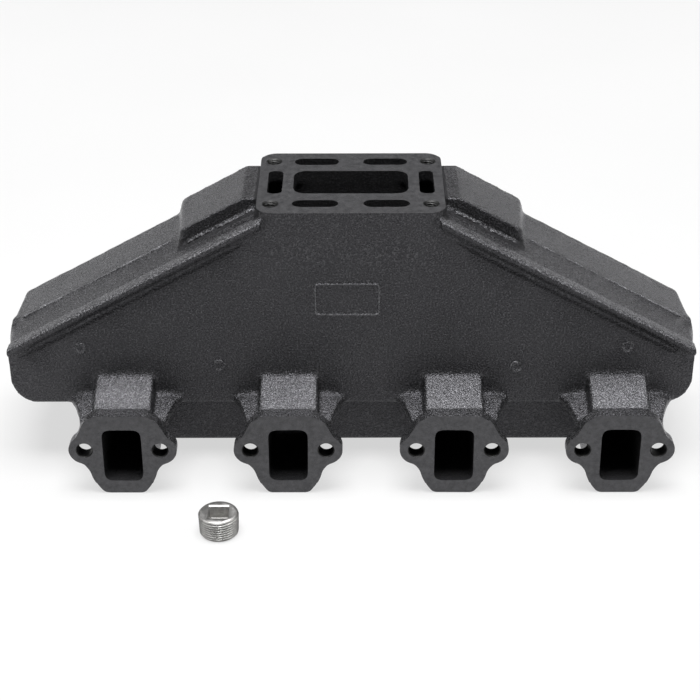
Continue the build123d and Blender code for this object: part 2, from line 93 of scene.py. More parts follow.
def put(name, v, faces):
    """A new object from vertices in mm and faces of any size."""
    me = bpy.data.meshes.new(name)
    me.from_pydata((np.asarray(v) * MM).tolist(), [], [tuple(int(i) for i in f) for f in faces])
    me.validate()
    me.update()
    o = bpy.data.objects.new(name, me)
    bpy.context.scene.collection.objects.link(o)
    return o


def together(name, pieces):
    """One object from several (vertices, faces)."""
    vs, fs, n = [], [], 0
    for v, f in pieces:
        vs.append(np.asarray(v, float))
        fs += [tuple(int(i) + n for i in face) for face in f]
        n += len(v)
    return put(name, np.concatenate(vs), fs)


def box(lo, hi):
    x0, y0, z0 = lo
    x1, y1, z1 = hi
    v = [(x0, y0, z0), (x1, y0, z0), (x1, y1, z0), (x0, y1, z0), (x0, y0, z1), (x1, y0, z1), (x1, y1, z1), (x0, y1, z1)]
    return v, [(0, 3, 2, 1), (4, 5, 6, 7), (0, 1, 5, 4), (1, 2, 6, 5), (2, 3, 7, 6), (3, 0, 4, 7)]


def lathe(at, axis, profile, n=48, wobble=0.0):
    """A closed turned solid. profile is (radius, distance along axis) from one end to the other, both ends capped."""
    w = Vector(axis).normalized()
    u = w.orthogonal().normalized()
    q = w.cross(u)
    v = []
    for r, t in profile:
        for k in range(n):
            a = 2 * math.pi * k / n
            rr = r * (1 + wobble * noise.noise(Vector((math.cos(a), math.sin(a), at[0] * 0.37))))
            v.append(tuple(Vector(at) + w * t + (u * math.cos(a) + q * math.sin(a)) * rr))
    f = [tuple(reversed(range(n))), tuple(range((len(profile) - 1) * n, len(profile) * n))]
    for j in range(len(profile) - 1):
        for k in range(n):
            a, b = j * n + k, j * n + (k + 1) % n
            f.append((a, b, b + n, a + n))
    return v, f


def threaded(at, axis, r, depth, pitch, length, n=40, per=8, chamfer=1.0, taper=0.0, blunt=1.5):
    """The empty space of a tapped hole: a cylinder whose wall follows a real helix. It runs from past the face down into the hole, against axis."""
    w = -Vector(axis).normalized()
    u = w.orthogonal().normalized()
    q = w.cross(u)
    rows = [-3.0, 0.0]
    step = pitch / per
    z = step
    while z < length:
        rows.append(z)
        z += step
    rows += [length, length + blunt]
    v = []
    for j, z in enumerate(rows):
        for k in range(n):
            a = 2 * math.pi * k / n
            if z <= 0:
                rr = r + depth + chamfer
            elif z >= length:
                rr = r if z == length else r * 0.35
            else:
                s = (z / pitch - k / n) % 1.0
                rr = r - taper * z + depth * (1 - abs(2 * s - 1)) * min(1.0, (length - z) / pitch)
                rr = max(rr, r + depth + chamfer - z)
            v.append(tuple(Vector(at) + w * z + (u * math.cos(a) + q * math.sin(a)) * rr))
    f = [tuple(reversed(range(n))), tuple(range((len(rows) - 1) * n, len(rows) * n))]
    for j in range(len(rows) - 1):
        for k in range(n):
            a, b = j * n + k, j * n + (k + 1) % n
            f.append((a, b, b + n, a + n))
    return v, f


def extension(node, axis, at, amount):
    """A prism that carries a node's flat face onwards, so that a later cut leaves a crisp machined edge."""
    v, t = soup(node)
    on = np.abs(v[:, axis] - at) < 2e-3
    t = t[on[t].all(axis=1)]
    used, t = np.unique(t, return_inverse=True)
    t = t.reshape(-1, 3)
    v = v[used]
    edges = {}
    for tri in t:
        for i in range(3):
            a, b = int(tri[i]), int(tri[(i + 1) % 3])
            edges[(a, b)] = edges.get((a, b), 0) + 1
    rim = [e for e in edges if (e[1], e[0]) not in edges]
    n = len(v)
    low, high = v.copy(), v.copy()
    low[:, axis] -= math.copysign(0.8, amount)
    high[:, axis] += amount
    faces = [(c + n, b + n, a + n)[::-1] for a, b, c in t] + [(c, b, a) for a, b, c in t]
    faces += [(a, b, b + n, a + n) for a, b in rim]
    return np.concatenate([low, high]), faces


def run(o, **kinds):
    """Adds one modifier, applies it and returns the object."""
    kind = kinds.pop("kind")
    m = o.modifiers.new("m", kind)
    for k, val in kinds.items():
        setattr(m, k, val)
    dg = bpy.context.evaluated_depsgraph_get()
    me = bpy.data.meshes.new_from_object(o.evaluated_get(dg))
    o.modifiers.clear()
    old = o.data
    o.data = me
    bpy.data.meshes.remove(old)
    return o


def cut(o, other, how="DIFFERENCE", keep=False):
    run(o, kind="BOOLEAN", operation=how, object=other, solver="MANIFOLD")
    if not keep:
        bpy.data.objects.remove(other)
    return o


def arrays(o):
    me = o.data
    v = np.empty(len(me.vertices) * 3, np.float32)
    me.vertices.foreach_get("co", v)
    e = np.empty(len(me.edges) * 2, np.int32)
    me.edges.foreach_get("vertices", e)
    return v.reshape(-1, 3).astype(np.float64) / MM, e.reshape(-1, 2)


def write_back(o, v):
    o.data.vertices.foreach_set("co", (v * MM).astype(np.float32).ravel())
    o.data.update()


def vertex_normals(o):
    n = np.empty(len(o.data.vertices) * 3, np.float32)
    o.data.vertex_normals.foreach_get("vector", n)
    return n.reshape(-1, 3).astype(np.float64)


def relax(o, rounds, fill, wear, amount=None):
    """Rounds a cast shape: fill is how fast inner corners fill up, wear how fast outer ones wear down."""
    v, e = arrays(o)
    n = len(v)
    deg = np.bincount(e.ravel(), minlength=n).astype(float)[:, None]
    for _ in range(rounds):
        s = np.stack([np.bincount(e[:, 0], v[e[:, 1], k], n) + np.bincount(e[:, 1], v[e[:, 0], k], n) for k in range(3)], 1)
        d = s / deg - v
        write_back(o, v)
        up = (d * vertex_normals(o)).sum(1)
        k = np.where(up > 0, fill, wear)[:, None]
        if amount is not None:
            k = k * amount(v)[:, None]
        v = v + d * k
    write_back(o, v)


def outward(v, f):
    """Turns a closed shell's faces outwards."""
    bm = bmesh.new()
    vs = [bm.verts.new([float(c) for c in p]) for p in v]
    for face in f:
        bm.faces.new([vs[i] for i in face])
    bmesh.ops.recalc_face_normals(bm, faces=bm.faces)
    if bm.calc_volume(signed=True) < 0:
        bmesh.ops.reverse_faces(bm, faces=bm.faces)
    bm.verts.index_update()
    out = [tuple(p.co) for p in bm.verts], [tuple(q.index for q in face.verts) for face in bm.faces]
    bm.free()
    return out


def wedge(line, side, out, rise, sink=2.0, n=6):
    """A hollow fillet run along line: out is its reach along side, rise its height."""
    v, f = [], []
    side = Vector(side)
    prof = [(-sink, rise), (0.0, rise)]
    for i in range(1, n):
        a = math.radians(90 * i / n)
        prof.append((out * (1 - math.cos(a)), rise * (1 - math.sin(a))))
    prof += [(out, 0.0), (out, -sink), (-sink, -sink)]
    k = len(prof)
    for q, size in line:
        for across, up in prof:
            a, b = (across * size if across > 0 else across), (up * size if up > 0 else up)
            v.append(tuple(Vector(q) + side * a + Vector((0, 0, b))))
    for j in range(len(line) - 1):
        for i in range(k):
            a, b = j * k + i, j * k + (i + 1) % k
            f.append((a, b, b + k, a + k))
    f += [tuple(reversed(range(k))), tuple(range((len(line) - 1) * k, len(line) * k))]
    return v, f


# ------------------------------------------------------------------ the casting, one piece of iron


def fuse():
    solids = [soup(n) for n in IRON]
    solids.append(extension("riser_deck", 2, Z_DECK, 4.0))
    for i in range(4):
        solids.append(extension(f"port_flange_{i + 1}", 1, Y_HEAD, -4.0))
    # drilled and tapped holes are filled now and drilled after the skin is rounded
    for x, y in STUDS:
        solids.append(lathe((x, y, Z_DECK), (0, 0, 1), [(4.4, -24.4), (4.4, 4.0)]))
    for x in PORTS:
        for s in (-1, 1):
            solids.append(lathe((x + s * 25.4, Y_HEAD, Z_BOLT), (0, 1, 0), [(5.6, -4.0), (5.6, 9.5)]))
    # generous fillets: at the foot of each raised passage's front, and where the passage meets the deck's side
    for s in (-1, 1):
        foot = [((s * x, 30.2, roof(x) + 1.3), 1.0) for x in (60.0, 72.0, 90.0, 108.0)]
        foot += [((s * 113.0, 30.2, roof(113.0) + 1.3), 0.75), ((s * 116.5, 30.2, roof(116.5) + 1.3), 0.25)]
        solids.append(outward(*wedge(foot, (0, -1, 0), 5.4, 4.4)))
        step = [((s * 61.0, y, 187.5 - 4.4 * (y - 30) / 66), 1.0) for y in (30.3, 50.0, 70.0)]
        step += [((s * 61.0, 84.0, 183.9), 0.9), ((s * 61.0, 90.0, 183.5), 0.35)]
        solids.append(outward(*wedge(step, (s, 0, 0), 6.5, 4.2)))
    # the chaplets' seats are filled as well: they are fused in
    for n in ("front_chaplets", "back_chaplets"):
        solids.append(soup(n))
    return together("casting", solids)


casting = fuse()
tick(f"soup {len(casting.data.polygons)}")
run(casting, kind="REMESH", mode="VOXEL", voxel_size=0.0012, adaptivity=0.0)
tick(f"remeshed {len(casting.data.polygons)}")

# the moulding sand rounds every edge: inner corners fill up, outer ones wear a little
def softness(v):
    """How far an edge is rounded, by place: the lips and the raised passages keep crisper edges than the rest."""
    x, y, z = np.abs(v[:, 0]), v[:, 1], v[:, 2]
    up = z - roof(x)
    k = np.ones(len(v))
    k[(x > 50) & (x < 128) & (y > 20) & (up > 0.5)] = 0.2
    k[(x > 54) & (x < 240) & (y < 9.5) & (up > -7) & (up < 8)] = 0.15
    for port in PORTS:
        k[(np.abs(v[:, 0] - port) < 24) & (y > -30) & (y < -3) & (z > 52)] = 0.3
    return k


relax(casting, 9, 0.5, 0.26, softness)
tick("rounded")
run(casting, kind="DECIMATE", decimate_type="COLLAPSE", ratio=0.165, use_collapse_triangulate=True)
tick(f"thinned {len(casting.data.polygons)}")

# the skin of a sand casting is never quite flat: low swells, and a finer unevenness over them
v, e = arrays(casting)
nrm = vertex_normals(casting)
swell = np.array([noise.noise(Vector(q) * 0.030) * 0.22 + noise.noise(Vector(q) * 0.16 + Vector((9, 4, 1))) * 0.15 for q in v])
for places, near in ((FRONT, v[:, 1] < 10), (BACK, v[:, 1] > 86)):
    for x, z in places:
        gone = np.clip((np.hypot(v[:, 0] - x, v[:, 2] - z) - 5.5) / 8, 0, 1)
        swell = np.where(near, swell * gone, swell)
swell = np.where((v[:, 1] > 90) | (v[:, 2] < 8) | (np.abs(v[:, 0]) > 228), swell - 0.40, swell)
v = v + nrm * swell[:, None]
v[:, 0] = np.clip(v[:, 0], -237.2, 237.2)
v[:, 1] = np.minimum(v[:, 1], 95.95)
v[:, 2] = np.maximum(v[:, 2], 0.02)
write_back(casting, v)
tick("uneven")

# ------------------------------------------------------------------ raised details of the skin


def ribbon(points, normals, side, width, heights, sink=0.8):
    """A low ridge with a rounded top along points. side is the direction across it."""
    prof = [(-0.5, None), (-0.5, 0.0), (-0.26, 0.72), (0.0, 1.0), (0.26, 0.72), (0.5, 0.0), (0.5, None)]
    v, f = [], []
    for p, nrm, h in zip(points, normals, heights):
        for across, up in prof:
            d = -sink if up is None else h * up
            v.append(np.asarray(p) + np.asarray(side) * width * across + np.asarray(nrm) * d)
    k, n = len(prof), len(points)
    for j in range(n - 1):
        for i in range(k):
            a, b = j * k + i, j * k + (i + 1) % k
            f.append((a, a + k, b + k, b))
    f.append(tuple(range(k)))
    f.append(tuple(reversed(range((n - 1) * k, n * k))))
    return v, f


details = []
# flash along the mould's parting line, down both roofs
for s in (-1, 1):
    xs = np.arange(122.0, 229.0, 1.3)
    wob = np.array([noise.noise(Vector((x * 0.11, s * 3.0, 0.5))) for x in xs])
    rag = np.array([noise.noise(Vector((x * 0.55, s * 9.0, 2.5))) for x in xs])
    h = np.clip(0.55 + 0.55 * wob + 0.5 * rag, 0.12, 1.1)
    pts = [(s * x, FLASH_Y + 0.5 * w, roof(x) + 2.15) for x, w in zip(xs, wob)]
    nrm = np.array([s * SLOPE, 0, 1.0]) / math.hypot(1, SLOPE)
    details.append(outward(*ribbon(pts, [nrm] * len(xs), (0, 1, 0), 1.9, h, sink=1.2)))


def frame_ring(x0, x1, z0, z1, r, width, rise):
    """The blank cast frame: a closed low ridge round a rounded rectangle on the front wall."""
    ring = []
    for cx, cz, a0 in ((x1 - r, z1 - r, 0), (x0 + r, z1 - r, 90), (x0 + r, z0 + r, 180), (x1 - r, z0 + r, 270)):
        for k in range(7):
            a = math.radians(a0 + 15 * k)
            ring.append(((cx + r * math.cos(a), cz + r * math.sin(a)), (math.cos(a), math.sin(a))))
    prof = [(-0.5, -0.8), (-0.5, 0.0), (-0.24, 0.8), (0.24, 0.8), (0.5, 0.0), (0.5, -0.8)]
    v, f, n, k = [], [], len(ring), len(prof)
    for (x, z), (nx, nz) in ring:
        for across, up in prof:
            v.append((x + nx * width * across, -(rise * up if up > 0 else up), z + nz * width * across))
    for j in range(n):
        for i in range(k):
            a, b = j * k + i, j * k + (i + 1) % k
            c, d = ((j + 1) % n) * k + i, ((j + 1) % n) * k + (i + 1) % k
            f.append((a, c, d, b))
    return outward(v, f)


# the joint of the loose mould piece that forms each raised passage, along the passage's foot
for s in (-1, 1):
    xs = np.arange(64.0, 113.5, 1.1)
    rag = np.array([noise.noise(Vector((x * 0.55, s * 7.0, 6.5))) + 0.6 * noise.noise(Vector((x * 1.7, s * 2.0, 0.5))) for x in xs])
    h = np.clip(1.0 + 1.0 * rag, 0.2, 1.9) * np.clip(np.minimum(xs - 63.0, 114.0 - xs) / 7, 0.15, 1)
    pts = [(s * x, 28.6 + 0.5 * r, roof(x) + 2.7 + 0.5 * r) for x, r in zip(xs, rag)]
    details.append(outward(*ribbon(pts, [(0, -0.6, 0.8)] * len(xs), (0, 0.8, 0.6), 3.4, h, sink=1.6)))
details.append(frame_ring(*TAG, 2.2, 1.5, 1.2))
for d in details:
    cut(casting, put("detail", *d), "UNION")
tick("details on")

# ------------------------------------------------------------------ machining
cutters = [
    box((-90, -30, Z_DECK), (90, 130, Z_DECK + 12)),
    box((-230, Y_HEAD - 12, -8), (240, Y_HEAD, 80)),
]
for c in cutters:
    cut(casting, put("cutter", *c))
# the cove under each lip: the wall is hollowed a little where the lip's undercut meets it
COVE = [(-3.3, 0.2), (-2.0, -0.5), (-0.7, -1.5), (0.7, -2.7), (1.5, -4.0), (1.6, -5.3), (1.1, -6.6), (0.45, -7.8), (-0.35, -9.2), (-1.6, -9.4), (-4.2, -6.0), (-4.6, -1.0)]
for s in (-1, 1):
    v, f, k = [], [], len(COVE)
    xs = np.linspace(63.0, 230.0, 90)
    for j, x in enumerate(xs):
        end = min(1.0, 0.15 + j / 12, 0.15 + (len(xs) - 1 - j) / 12)
        wob = noise.noise(Vector((x * 0.09, s * 5.0, 1.0)))
        for y, h in COVE:
            v.append((s * x, -0.8 + end * (y + 0.8 + 0.3 * wob), roof(x) - 6.5 + end * (h + 6.5 + 0.3 * wob)))
    for j in range(len(xs) - 1):
        for i in range(k):
            a, b = j * k + i, j * k + (i + 1) % k
            f.append((a, b, b + k, a + k))
    f += [tuple(reversed(range(k))), tuple(range((len(xs) - 1) * k, len(xs) * k))]
    cut(casting, put("cove", *outward(v, f)))
drills = []
for x, y in STUDS:
    drills.append(outward(*threaded((x, y, Z_DECK), (0, 0, 1), 3.97, 0.8, 25.4 / 16, 22.0, chamfer=0.7)))
for x in PORTS:
    for s in (-1, 1):
        at = (x + s * 25.4, Y_HEAD, Z_BOLT)
        drills.append(outward(*lathe(at, (0, 1, 0), [(5.75, -2.0), (5.75, 0.0), (5.15, 0.6), (5.15, 10.5)], 56)))
for s in (-1, 1):
    drills.append(outward(*threaded((s * 237.3, 48.0, 72.0), (s, 0, 0), 12.3, 1.0, 25.4 / 14, 23.0, n=72, chamfer=0.6, taper=1 / 32, blunt=17.0)))
cut(casting, together("drills", drills))
tick(f"machined {len(casting.data.polygons)}")

# ------------------------------------------------------------------ materials
CAST, MACHINED, DRILLED, RUBBED_HIGHLIT, INSIDE, FACE, HIGHLIT = 0, 1, 2, 3, 4, 5, 6


def node(nt, kind, at=(0, 0), **inputs):
    n = nt.nodes.new(kind)
    n.location = at
    for k, val in inputs.items():
        if k in n.inputs:
            n.inputs[k].default_value = val
        else:
            setattr(n, k, val)
    return n


def ramp(nt, stops, at=(0, 0)):
    n = nt.nodes.new("ShaderNodeValToRGB")
    n.location = at
    while len(n.color_ramp.elements) < len(stops):
        n.color_ramp.elements.new(0.5)
    for e, (pos, c) in zip(n.color_ramp.elements, stops):
        e.position = pos
        e.color = (c, c, c, 1) if not isinstance(c, tuple) else (*c, 1)
    return n


def blank(name):
    m = bpy.data.materials.new(name)
    m.use_nodes = True
    nt = m.node_tree
    nt.nodes.clear()
    out = node(nt, "ShaderNodeOutputMaterial", (900, 0))
    p = node(nt, "ShaderNodeBsdfPrincipled", (600, 0))
    nt.links.new(p.outputs[0], out.inputs[0])
    tc = node(nt, "ShaderNodeTexCoord", (-900, 0))
    return m, nt, p, tc.outputs["Object"]


def noise_of(nt, where, scale, detail, rough=0.5, at=(0, 0)):
    n = node(nt, "ShaderNodeTexNoise", at)
    n.inputs["Scale"].default_value = scale
    n.inputs["Detail"].default_value = detail
    n.inputs["Roughness"].default_value = rough
    nt.links.new(where, n.inputs["Vector"])
    return n.outputs["Fac"]


def bump(nt, height, strength, distance, before=None, at=(0, 0)):
    b = node(nt, "ShaderNodeBump", at)
    b.inputs["Strength"].default_value = strength
    b.inputs["Distance"].default_value = distance
    nt.links.new(height, b.inputs["Height"])
    if before is not None:
        nt.links.new(before, b.inputs["Normal"])
    return b.outputs["Normal"]


def sand_cast(name="sand_cast_iron", low=0.009, high=0.019, tip=0.075, gloss=0.6, dull=0.0):
    """Dark grey iron as it leaves the sand: a skin of grains about 0.8 mm across, fine pits, faint clouding and a little rust."""
    m, nt, p, where = blank(name)
    cloud = noise_of(nt, where, 28, 4, 0.6, (-650, 350))
    grain = noise_of(nt, where, 1500, 3, 0.62, (-650, 100))
    coarse = noise_of(nt, where, 900, 2, 0.55, (-650, -150))
    lumps = noise_of(nt, where, 95, 3, 0.5, (-650, -400))
    # colour: clouding, and the tips of the grains rubbed lighter
    c1 = ramp(nt, [(0.30, (low, low, low * 1.05)), (0.72, (high, high, high * 1.04))], (-350, 400))
    nt.links.new(cloud, c1.inputs[0])
    c2 = ramp(nt, [(0.50, 0.0), (0.68, 1.0)], (-350, 180))
    nt.links.new(coarse, c2.inputs[0])
    tips = node(nt, "ShaderNodeMix", (0, 380), data_type="RGBA", blend_type="MIX")
    nt.links.new(c2.outputs[0], tips.inputs[0])
    nt.links.new(c1.outputs[0], tips.inputs[6])
    tips.inputs[7].default_value = (tip, tip, tip * 1.04, 1)
    rust_at = ramp(nt, [(0.66, 0.0), (0.80, 0.35)], (-100, 640))
    nt.links.new(noise_of(nt, where, 60, 6, 0.7, (-400, 640)), rust_at.inputs[0])
    rust = node(nt, "ShaderNodeMix", (250, 420), data_type="RGBA", blend_type="MIX")
    nt.links.new(rust_at.outputs[0], rust.inputs[0])
    nt.links.new(tips.outputs[2], rust.inputs[6])
    rust.inputs[7].default_value = (0.040, 0.027, 0.020, 1)
    nt.links.new(rust.outputs[2], p.inputs["Base Color"])
    r = node(nt, "ShaderNodeMapRange", (0, 0))
    nt.links.new(coarse, r.inputs["Value"])
    r.inputs["To Min"].default_value = 0.20 + dull
    r.inputs["To Max"].default_value = 0.36 + dull
    nt.links.new(r.outputs[0], p.inputs["Roughness"])
    n1 = bump(nt, lumps, 0.35, 0.0008, None, (0, -450))
    n2 = bump(nt, coarse, 1.0, 0.0008, n1, (150, -300))
    n3 = bump(nt, grain, 0.7, 0.0004, n2, (300, -150))
    nt.links.new(n3, p.inputs["Normal"])
    p.inputs["Metallic"].default_value = 0.2
    p.inputs["Specular IOR Level"].default_value = gloss
    p.inputs["Specular Tint"].default_value = (0.93, 0.92, 1.0, 1)
    return m


def machined(name="machined_iron", low=0.022, high=0.064):
    """A sealing face off the mill: long shallow tool arcs, fine scratches, and the same dark oxide as the casting."""
    m, nt, p, where = blank(name)
    arcs = node(nt, "ShaderNodeTexWave", (-650, -100), wave_type="RINGS", rings_direction="SPHERICAL")
    arcs.inputs["Scale"].default_value = 230
    arcs.inputs["Distortion"].default_value = 0.6
    arcs.inputs["Detail"].default_value = 2
    shift = node(nt, "ShaderNodeMapping", (-850, -100))
    shift.inputs["Location"].default_value = (0.31, 0.17, -0.19)
    nt.links.new(where, shift.inputs["Vector"])
    nt.links.new(shift.outputs[0], arcs.inputs["Vector"])
    spots = noise_of(nt, where, 240, 6, 0.75, (-650, 250))
    fine = noise_of(nt, where, 900, 3, 0.6, (-650, -400))
    c = ramp(nt, [(0.35, (low, low, low * 1.03)), (0.65, (high, high, high * 1.03))], (-300, 300))
    nt.links.new(spots, c.inputs[0])
    nt.links.new(c.outputs[0], p.inputs["Base Color"])
    r = node(nt, "ShaderNodeMapRange", (0, 0))
    nt.links.new(spots, r.inputs["Value"])
    r.inputs["To Min"].default_value = 0.34
    r.inputs["To Max"].default_value = 0.52
    nt.links.new(r.outputs[0], p.inputs["Roughness"])
    n1 = bump(nt, arcs.outputs["Fac"], 0.10, 0.0002, None, (150, -200))
    nt.links.new(bump(nt, fine, 0.9, 0.0006, n1, (300, -300)), p.inputs["Normal"])
    p.inputs["Metallic"].default_value = 0.45
    p.inputs["Specular Tint"].default_value = (0.93, 0.92, 1.0, 1)
    p.inputs["Specular IOR Level"].default_value = 0.6
    return m


def bright(name, low, high, rough, ring_scale):
    """Bare cut metal: in a drilled or tapped hole, or on the plug."""
    m, nt, p, where = blank(name)
    n = noise_of(nt, where, 260, 5, 0.65, (-650, 200))
    c = ramp(nt, [(0.3, low), (0.72, high)], (-300, 250))
    nt.links.new(n, c.inputs[0])
    nt.links.new(c.outputs[0], p.inputs["Base Color"])
    r = node(nt, "ShaderNodeMapRange", (0, 0))
    nt.links.new(n, r.inputs["Value"])
    r.inputs["To Min"].default_value = rough - 0.07
    r.inputs["To Max"].default_value = rough + 0.09
    nt.links.new(r.outputs[0], p.inputs["Roughness"])
    fine = noise_of(nt, where, ring_scale, 3, 0.6, (-650, -250))
    nt.links.new(bump(nt, fine, 0.3, 0.00012, None, (200, -250)), p.inputs["Normal"])
    p.inputs["Metallic"].default_value = 1.0
    return m


M_CAST, M_MACH = sand_cast(), machined()
# near-black cut metal for the drilled and tapped holes: painted shade inside the holes
M_HOLE_SHADE = bright("cut_iron_painted_shade", (0.020, 0.020, 0.021), (0.060, 0.060, 0.059), 0.5, 1800)
M_PLUG = bright("plug_steel", (0.32, 0.315, 0.305), (0.50, 0.495, 0.485), 0.46, 1400)
# lighter iron for the flash's crest and the frame: rubbed, and partly a painted highlight
M_RUB_HIGHLIT = sand_cast("rubbed_and_highlit_iron", 0.065, 0.115, 0.21)
# darker, duller iron for faces deep in the passages: painted shade
M_IN_SHADE = sand_cast("passage_shade_iron", 0.008, 0.016, 0.026, 0.22, 0.30)
M_FACE = machined("flange_face_iron", 0.044, 0.086)
# lighter iron for crests and tops that face the light: a painted highlight
M_HIGHLIT = sand_cast("painted_highlight_iron", 0.022, 0.042, 0.15)

# which faces were cut: by where they lie
casting.data.materials.clear()
for m in (M_CAST, M_MACH, M_HOLE_SHADE, M_RUB_HIGHLIT, M_IN_SHADE, M_FACE, M_HIGHLIT):
    casting.data.materials.append(m)


def centres(o):
    k = len(o.data.polygons)
    c, n = np.empty(k * 3, np.float32), np.empty(k * 3, np.float32)
    o.data.polygons.foreach_get("center", c)
    o.data.polygons.foreach_get("normal", n)
    return c.reshape(-1, 3).astype(float) / MM, n.reshape(-1, 3).astype(float)


def inside(c):
    """Which faces belong to the passages: those that lie more than half a wall's thickness behind the outer skin."""
    x, y, z = np.abs(c[:, 0]), c[:, 1], c[:, 2]
    top = (roof(x) + 1.0 - z) * 0.876
    flat = (x < 64) & (z > 160)
    top = np.where(flat, 9.0, top)
    raised = (x > 61) & (x < 116) & (y > 24)
    top = np.where(raised, np.maximum(top, (roof(np.maximum(x, 72)) + 9.5 - (y > 90) * 3 - z) * 0.876), top)
    walls = np.minimum(y, 96 - y)
    log = np.minimum.reduce([y - 28, 96 - y, c[:, 0] + 177, 203 - c[:, 0], z])
    over = np.where(log > 3, 9.0, z - 48.5)
    jacket = np.minimum.reduce([walls, 234 - x, top, over])
    deep = (jacket > 3.2) & (z >= 48.5) | (log > 3.2) & (z < 52)
    for port in PORTS:
        d = np.abs(c[:, 0] - port)
        deep |= (d < 15) & (z > 8.5) & (z < 66) & (y > Y_HEAD + 0.05) & (y < 30) & (z < 52 + (y + 28) * 0.5)
    deep |= (z > 182) & (z < Z_DECK - 0.05) & (x < 58.5) & (y > 2) & (y < 92.5)
    return deep


c, n = centres(casting)
slots = np.zeros(len(c), np.int32)
# faces deep in the passages take the darker iron: painted shade
slots[inside(c)] = INSIDE
slots[(np.abs(c[:, 2] - Z_DECK) < 0.02) & (n[:, 2] > 0.99)] = MACHINED
slots[(np.abs(c[:, 1] - Y_HEAD) < 0.02) & (n[:, 1] < -0.99)] = FACE
for x, y in STUDS:
    slots[(np.hypot(c[:, 0] - x, c[:, 1] - y) < 5.6) & (c[:, 2] > 165) & (c[:, 2] < Z_DECK - 0.01)] = DRILLED
for x in PORTS:
    for s in (-1, 1):
        slots[(np.hypot(c[:, 0] - x - s * 25.4, c[:, 2] - Z_BOLT) < 5.8) & (c[:, 1] > Y_HEAD + 0.01) & (c[:, 1] < -28.4)] = DRILLED
slots[(np.hypot(c[:, 1] - 48, c[:, 2] - 72) < 13.9) & (np.abs(c[:, 0]) > 212) & (np.abs(n[:, 0]) < 0.97)] = DRILLED
# the flash's crest and the frame's face are painted lighter: rubbed bright, and partly a painted highlight
slots[(np.abs(c[:, 1] - FLASH_Y) < 1.15) & (np.abs(c[:, 0]) > 121) & (np.abs(c[:, 0]) < 230) & (c[:, 2] > roof(c[:, 0]) + 2.42)] = RUBBED_HIGHLIT
# the crest of the ridge at each passage's foot is painted lighter: a painted highlight
foot = (np.abs(c[:, 0]) > 63.5) & (np.abs(c[:, 0]) < 114) & (c[:, 1] > 25.8) & (c[:, 1] < 29.9)
proud = (c[:, 1] - 28.6) * -0.6 + (c[:, 2] - roof(c[:, 0]) - 2.7) * 0.8
slots[foot & (proud > 0.45) & (np.abs((c[:, 1] - 28.6) * 0.8 + (c[:, 2] - roof(c[:, 0]) - 2.7) * 0.6) < 1.9)] = HIGHLIT
side = np.abs(c[:, 0])
# the upward-facing top of each lip's crest is painted lighter: a painted highlight
slots[(side > 60) & (side < 231) & (c[:, 1] < 7.2) & (c[:, 2] - roof(c[:, 0]) > 4.1) & (n[:, 2] > 0.35) & ~inside(c)] = HIGHLIT
# each runner's upward-facing top is painted lighter: a painted highlight
for port in PORTS:
    slots[(np.abs(c[:, 0] - port) < 20.5) & (c[:, 1] > -28.3) & (c[:, 1] < -0.2) & (c[:, 2] > 54) & (n[:, 2] > 0.85)] = HIGHLIT
# the frame's raised faces take the lighter iron: rubbed, and partly a painted highlight
slots[(c[:, 1] < -0.6) & (c[:, 0] > TAG[0] - 2) & (c[:, 0] < TAG[1] + 2) & (c[:, 2] > TAG[2] - 2) & (c[:, 2] < TAG[3] + 2)] = RUBBED_HIGHLIT
casting.data.polygons.foreach_set("material_index", slots)


def smooth(o, angle):
    o.data.polygons.foreach_set("use_smooth", np.ones(len(o.data.polygons), bool))
    o.data.set_sharp_from_angle(angle=math.radians(angle))


smooth(casting, 40)
casting.name = "manifold_casting"

# ------------------------------------------------------------------ loose pipe plug
PX, PY, PH, PR, PITCH = -86.7, -96.0 + 13.335, 15.6, 13.30, 25.4 / 14


def plug_body():
    n, per = 112, 12
    rows = np.arange(0, PH + 1e-6, PITCH / per)
    rows = np.append(rows[rows < PH - 0.02], PH)
    v = []
    for z in rows:
        for k in range(n):
            s = (z / PITCH - k / n) % 1.0
            tooth = min(1.0, max(0.0, 1.36 * (1 - abs(2 * s - 1)) - 0.16))
            crest = PR - (PH - z) / 32
            r = crest - 1.15 * (1 - tooth)
            r = min(r, PR - PH / 32 - 1.35 + 1.1 * z, PR - 0.95 + 0.95 * (PH - z))
            a = 2 * math.pi * k / n
            v.append((PX + r * math.cos(a), PY + r * math.sin(a), z))
    f = [tuple(reversed(range(n))), tuple(range((len(rows) - 1) * n, len(rows) * n))]
    for j in range(len(rows) - 1):
        for k in range(n):
            a, b = j * n + k, j * n + (k + 1) % n
            f.append((a, b, b + n, a + n))
    return outward(v, f)


def socket():
    """The square socket, its corners slightly round, its mouth broken and its floor drilled."""
    def square(h, r, z, m=6):
        out = []
        for cx, cy, a0 in ((1, 1, 0), (-1, 1, 90), (-1, -1, 180), (1, -1, 270)):
            for k in range(m):
                a = math.radians(a0 + 90 * k / (m - 1))
                out.append((PX + cx * (h - r) + r * math.cos(a), PY + cy * (h - r) + r * math.sin(a), z))
        return out
    levels = [square(6.95, 1.3, PH + 1), square(6.95, 1.3, PH), square(6.45, 0.9, PH - 0.55), square(6.4, 0.9, PH - 9.0), square(2.0, 0.9, PH - 10.6)]
    n, v, f = len(levels[0]), [], []
    for lv in levels:
        v += lv
    f = [tuple(range(n)), tuple(reversed(range((len(levels) - 1) * n, len(levels) * n)))]
    for j in range(len(levels) - 1):
        for k in range(n):
            a, b = j * n + k, j * n + (k + 1) % n
            f.append((a, a + n, b + n, b))
    return outward(v, f)


plug = put("pipe_plug_threaded", *plug_body())
cut(plug, put("socket", *socket()))
plug.data.materials.clear()
plug.data.materials.append(M_PLUG)
smooth(plug, 50)

